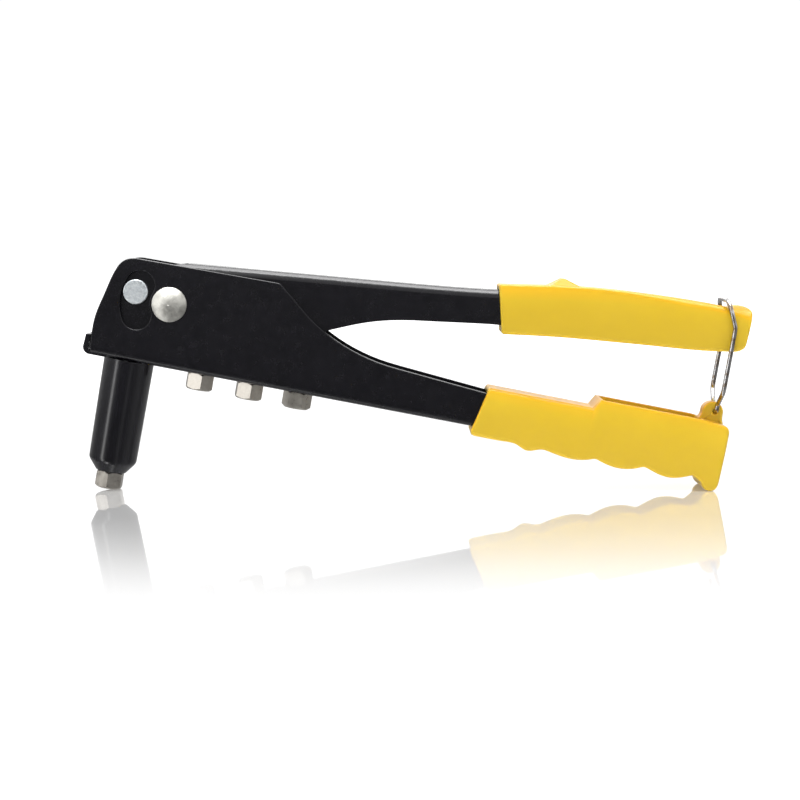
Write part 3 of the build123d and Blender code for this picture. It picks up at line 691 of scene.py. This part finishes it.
def grip_yellow():
    m = Mat("grip_yellow")
    m.set(ior=1.5, spec=0.36, sss=0.0)
    cloud = m.noise(26, 3, 0.5)
    flow = m.noise(70, 4, 0.6, m.axes((0.35, 1, 1)))
    base = m.ramp(cloud, [(0.35, (0.680, 0.448, 0.013)), (0.65, (0.720, 0.482, 0.018))])
    base = m.mix(m.rng(flow, 0, 0.25, 0.4, 0.7), base, (0.62, 0.42, 0.022))
    # painted light and shade: faces turned up are painted brighter and faces turned down painted darker, from the
    # world-space normal
    geo = m.t.nodes.new("ShaderNodeNewGeometry")
    painted_light_tilt = m.t.nodes.new("ShaderNodeSeparateXYZ")
    m.t.links.new(geo.outputs["Normal"], painted_light_tilt.inputs[0])
    base = m.mix(m.rng(painted_light_tilt.outputs[2], 0.0, 1.0, -0.06, 0.09), (0.625, 0.418, 0.016), base)
    base = m.mix(m.rng(painted_light_tilt.outputs[2], 0.0, 1.0, 0.09, 0.25), base, (0.86, 0.48, 0.010))
    # painted highlight: edges are painted paler, like the light line a rounded edge catches
    painted_edge_highlight = m.edge(0.0006, 0.01, 0.30)
    base = m.mix(m.math("MULTIPLY", painted_edge_highlight, 0.45), base, (0.96, 0.80, 0.30))
    rough = m.rng(m.noise(300, 3, 0.6), 0.30, 0.40, 0.3, 0.7)
    n = m.bump(m.noise(1900, 2, 0.5), 0.10, 0.00004)
    n = m.bump(m.noise(90, 2, 0.5), 0.10, 0.0002, n)
    return m.done(base, rough, n)


mats = {
    "black_paint": black_paint(),
    "barrel_black": barrel_black(),
    "rivet_nickel": nickel("rivet_nickel", (0.74, 0.73, 0.68), (0.42, 0.41, 0.38), 0.40, 0.52, 330, 0.5),
    "pin_zinc": pin_zinc(),
    "nose_nickel": nickel("nose_nickel", (0.55, 0.52, 0.47), (0.40, 0.37, 0.33), 0.26, 0.40, 420, 0.2),
    "zinc_steel": turned_steel("zinc_steel", (0.62, 0.63, 0.63), (0.48, 0.49, 0.50), 0.30, 0.42),
    "tool_steel": turned_steel("tool_steel", (0.36, 0.35, 0.34), (0.24, 0.235, 0.23), 0.34, 0.46),
    "spring_steel": turned_steel("spring_steel", (0.42, 0.41, 0.40), (0.30, 0.29, 0.28), 0.30, 0.40),
    "bail_chrome": bail_chrome(),
    "grip_yellow": grip_yellow(),
}


def slot_of(node):
    """The record's slot for a CAD node: the imported material keeps its name."""
    for s in nodes[node].material_slots:
        if s.material:
            n = s.material.name.split(".")[0]
            if n in mats:
                return n
    return None


for name, ob in nodes.items():
    s = slot_of(name)
    if s is None:
        print("no slot for", name, [x.material.name for x in ob.material_slots if x.material])
        s = "zinc_steel"
    if not ob.material_slots:
        ob.data.materials.append(mats[s])
    for sl in ob.material_slots:
        sl.material = mats[s]

def ease(name, width, segments=3, angle=28):
    """Break the edges of a CAD node: its own mesh stays as it is, the modifiers round what is shown."""
    ob = nodes[name]
    w = ob.modifiers.new("weld", "WELD")
    w.merge_threshold = 1e-6
    b = ob.modifiers.new("ease", "BEVEL")
    b.width = width
    b.segments = segments
    b.limit_method = "ANGLE"
    b.angle_limit = math.radians(angle)
    b.harden_normals = False
    b.use_clamp_overlap = True


for n in ("nosepiece_3_2", "nosepiece_2_4", "nosepiece_4_0", "nosepiece_4_8"):
    ease(n, 0.0006)

upper = make_upper_grip()
upper.data.materials.append(mats["grip_yellow"])
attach(upper, "lever")
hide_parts("upper_grip")

lower = make_lower_grip()
lower.data.materials.append(mats["grip_yellow"])
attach(lower, "base")
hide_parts("lower_grip")

# ---- floor, light, camera ------------------------------------------------------------------------------------------
bpy.ops.mesh.primitive_plane_add(size=8.0, location=(0, 0, 0))
floor = bpy.context.object
floor.name = "floor"
fm = bpy.data.materials.new("floor_white")
fm.use_nodes = True
ft = fm.node_tree
ft.nodes.clear()
fo = ft.nodes.new("ShaderNodeOutputMaterial")
diff = ft.nodes.new("ShaderNodeBsdfDiffuse")
diff.inputs[0].default_value = (0.80, 0.80, 0.80, 1)
emit = ft.nodes.new("ShaderNodeEmission")
emit.inputs[0].default_value = (1, 1, 1, 1)
far = ft.nodes.new("ShaderNodeVectorMath")
far.operation = "LENGTH"
far_r = ft.nodes.new("ShaderNodeMapRange")
far_r.inputs["From Min"].default_value, far_r.inputs["From Max"].default_value = 0.25, 0.9
far_r.inputs["To Min"].default_value, far_r.inputs["To Max"].default_value = FLOOR_EMIT, 1.0
ft.links.new(far.outputs["Value"], far_r.inputs["Value"])
ft.links.new(far_r.outputs[0], emit.inputs[1])
gl = ft.nodes.new("ShaderNodeBsdfGlossy")
gl.inputs["Roughness"].default_value = 0.03
gl.inputs[0].default_value = (1.0, 1.0, 1.0, 1)
add = ft.nodes.new("ShaderNodeAddShader")
mixs = ft.nodes.new("ShaderNodeMixShader")
# the polished patch that the tool stands on fades out to a matt floor
fc = ft.nodes.new("ShaderNodeTexCoord")
fs = ft.nodes.new("ShaderNodeSeparateXYZ")
ft.links.new(fc.outputs["Object"], fs.inputs[0])
ft.links.new(fc.outputs["Object"], far.inputs[0])
fa = ft.nodes.new("ShaderNodeMath")
fa.operation = "ABSOLUTE"
ft.links.new(fs.outputs[1], fa.inputs[0])
fr = ft.nodes.new("ShaderNodeValToRGB")
el = fr.color_ramp.elements
el[0].position, el[0].color = 0.0, (0.62, 0.62, 0.62, 1)
el[1].position, el[1].color = 1.0, (0, 0, 0, 1)
for pos, v in ((0.27, 0.58), (0.40, 0.51), (0.53, 0.40), (0.64, 0.27), (0.75, 0.15), (0.87, 0.05)):
    e = el.new(pos)
    e.color = (v, v, v, 1)
fk4 = ft.nodes.new("ShaderNodeMath")
fk4.operation = "MULTIPLY"
fk4.inputs[1].default_value = 1 / 0.245
ft.links.new(fa.outputs[0], fk4.inputs[0])
ft.links.new(fk4.outputs[0], fr.inputs[0])
ft.links.new(fr.outputs[0], mixs.inputs[0])
ft.links.new(diff.outputs[0], add.inputs[0])
ft.links.new(emit.outputs[0], add.inputs[1])
ft.links.new(add.outputs[0], mixs.inputs[1])
ft.links.new(gl.outputs[0], mixs.inputs[2])
ft.links.new(mixs.outputs[0], fo.inputs[0])
floor.data.materials.append(fm)
floor.visible_glossy = False

world = bpy.data.worlds.new("studio")
scene.world = world
world.use_nodes = True
wt = world.node_tree
wt.nodes.clear()
wo = wt.nodes.new("ShaderNodeOutputWorld")
tc = wt.nodes.new("ShaderNodeTexCoord")
sep = wt.nodes.new("ShaderNodeSeparateXYZ")
wt.links.new(tc.outputs["Generated"], sep.inputs[0])


def world_ramp(out, lo, hi, stops, strength):
    mr = wt.nodes.new("ShaderNodeMapRange")
    mr.inputs["From Min"].default_value, mr.inputs["From Max"].default_value = lo, hi
    wt.links.new(sep.outputs[out], mr.inputs["Value"])
    r = wt.nodes.new("ShaderNodeValToRGB")
    el = r.color_ramp.elements
    el[0].position, el[0].color = stops[0][0], (stops[0][1],) * 3 + (1,)
    el[1].position, el[1].color = stops[-1][0], (stops[-1][1],) * 3 + (1,)
    for pos, v in stops[1:-1]:
        e = el.new(pos)
        e.color = (v, v, v, 1)
    wt.links.new(mr.outputs[0], r.inputs[0])
    b = wt.nodes.new("ShaderNodeBackground")
    b.inputs[1].default_value = strength
    wt.links.new(r.outputs[0], b.inputs[0])
    return b.outputs[0]


white = wt.nodes.new("ShaderNodeBackground")
white.inputs[0].default_value = (1, 1, 1, 1)
white.inputs[1].default_value = 1.04
# what polished surfaces see: a white dome over a dim studio floor, with two upright strips near the horizon
dome = world_ramp(2, -1, 1, [(0.0, 0.30), (0.44, GLOSS_LOW), (0.52, GLOSS_MID), (0.568, 1.0), (1.0, 1.0)], 1.04)
az = wt.nodes.new("ShaderNodeMath")
az.operation = "ARCTAN2"
wt.links.new(sep.outputs[0], az.inputs[0])
ny = wt.nodes.new("ShaderNodeMath")
ny.operation = "MULTIPLY"
ny.inputs[1].default_value = -1.0
wt.links.new(sep.outputs[1], ny.inputs[0])
wt.links.new(ny.outputs[0], az.inputs[1])
azr = wt.nodes.new("ShaderNodeMapRange")          # -180 (left) .. 180 (right) of the direction towards the viewer
azr.inputs["From Min"].default_value, azr.inputs["From Max"].default_value = -math.pi, math.pi
wt.links.new(az.outputs[0], azr.inputs["Value"])
strips = wt.nodes.new("ShaderNodeValToRGB")
el = strips.color_ramp.elements
pos = lambda deg: (deg + 180) / 360
vals = [(-180, 0.06), (-120, 0.05), (-95, 0.01), (-75, 0.03), (-62, 0.05), (-57, 0.04), (-53, 0.35), (-50, 1.0), (-46, 1.0), (-43, 0.35), (-38, 0.04), (-20, 0.0), (12, 0.0), (19, 0.05), (26, 0.05), (33, 0.0), (55, 0.03), (75, 0.06), (95, 0.02), (120, 0.06), (180, 0.06)]
el[0].position, el[0].color = pos(vals[0][0]), (vals[0][1],) * 3 + (1,)
el[1].position, el[1].color = pos(vals[-1][0]), (vals[-1][1],) * 3 + (1,)
for d, v in vals[1:-1]:
    e = el.new(pos(d))
    e.color = (v, v, v, 1)
wt.links.new(azr.outputs[0], strips.inputs[0])
lowz = wt.nodes.new("ShaderNodeMapRange")
lowz.inputs["From Min"].default_value, lowz.inputs["From Max"].default_value = 0.50, 0.30
wt.links.new(sep.outputs[2], lowz.inputs["Value"])
sm = wt.nodes.new("ShaderNodeMath")
sm.operation = "MULTIPLY"
wt.links.new(strips.outputs[0], sm.inputs[0])
wt.links.new(lowz.outputs[0], sm.inputs[1])
sg = wt.nodes.new("ShaderNodeMath")
sg.operation = "MULTIPLY"
sg.inputs[1].default_value = STRIP
wt.links.new(sm.outputs[0], sg.inputs[0])
sb = wt.nodes.new("ShaderNodeBackground")
wt.links.new(sg.outputs[0], sb.inputs[1])
sa = wt.nodes.new("ShaderNodeAddShader")
wt.links.new(dome, sa.inputs[0])
wt.links.new(sb.outputs[0], sa.inputs[1])
zenith = world_ramp(2, -1, 1, [(0.0, 0.0), (0.915, 0.0), (0.96, 1.0), (1.0, 1.0)], ZENITH)
sz = wt.nodes.new("ShaderNodeAddShader")
wt.links.new(sa.outputs[0], sz.inputs[0])
wt.links.new(zenith, sz.inputs[1])
gloss_env = sz.outputs[0]
# what matt surfaces are lit by: an even soft dome, the area lights give the direction
soft_env = world_ramp(2, -1, 1, [(0.0, 0.3), (0.5, 0.85), (1.0, 1.0)], SOFT_ENV)
lp = wt.nodes.new("ShaderNodeLightPath")
m1 = wt.nodes.new("ShaderNodeMixShader")
wt.links.new(lp.outputs["Is Glossy Ray"], m1.inputs[0])
wt.links.new(soft_env, m1.inputs[1])
wt.links.new(gloss_env, m1.inputs[2])
mw = wt.nodes.new("ShaderNodeMixShader")
wt.links.new(lp.outputs["Is Camera Ray"], mw.inputs[0])
wt.links.new(m1.outputs[0], mw.inputs[1])
wt.links.new(white.outputs[0], mw.inputs[2])
wt.links.new(mw.outputs[0], wo.inputs[0])


def area(name, loc, target, size, power, size_y=None, spread=180):
    d = bpy.data.lights.new(name, "AREA")
    d.energy = power
    d.size = size
    d.spread = math.radians(spread)
    if size_y:
        d.shape = "RECTANGLE"
        d.size_y = size_y
    o = bpy.data.objects.new(name, d)
    scene.collection.objects.link(o)
    o.location = loc
    o.rotation_euler = (Vector(target) - Vector(loc)).to_track_quat("-Z", "Y").to_euler()
    return o


area("top_softbox", (0.05, -0.16, 0.85), (0, 0, 0.04), 0.8, TOP_W, 0.16)
area("key_front", (-0.35, -0.85, 0.75), (0, 0, 0.05), 0.5, KEY_W)
area("back_fill", (0.0, 0.85, 0.55), (0, 0, 0.05), 0.7, BACK_W)
cam_data = bpy.data.cameras.new("camera")
cam_data.lens = 76.5
cam_data.sensor_width = 36
cam = bpy.data.objects.new("camera", cam_data)
scene.collection.objects.link(cam)
cam.location = (-0.0070, -0.6672, 0.10226)
cam.rotation_euler = (math.radians(84.25), math.radians(0.18), 0)
scene.camera = cam
scene.view_settings.view_transform = "Standard"
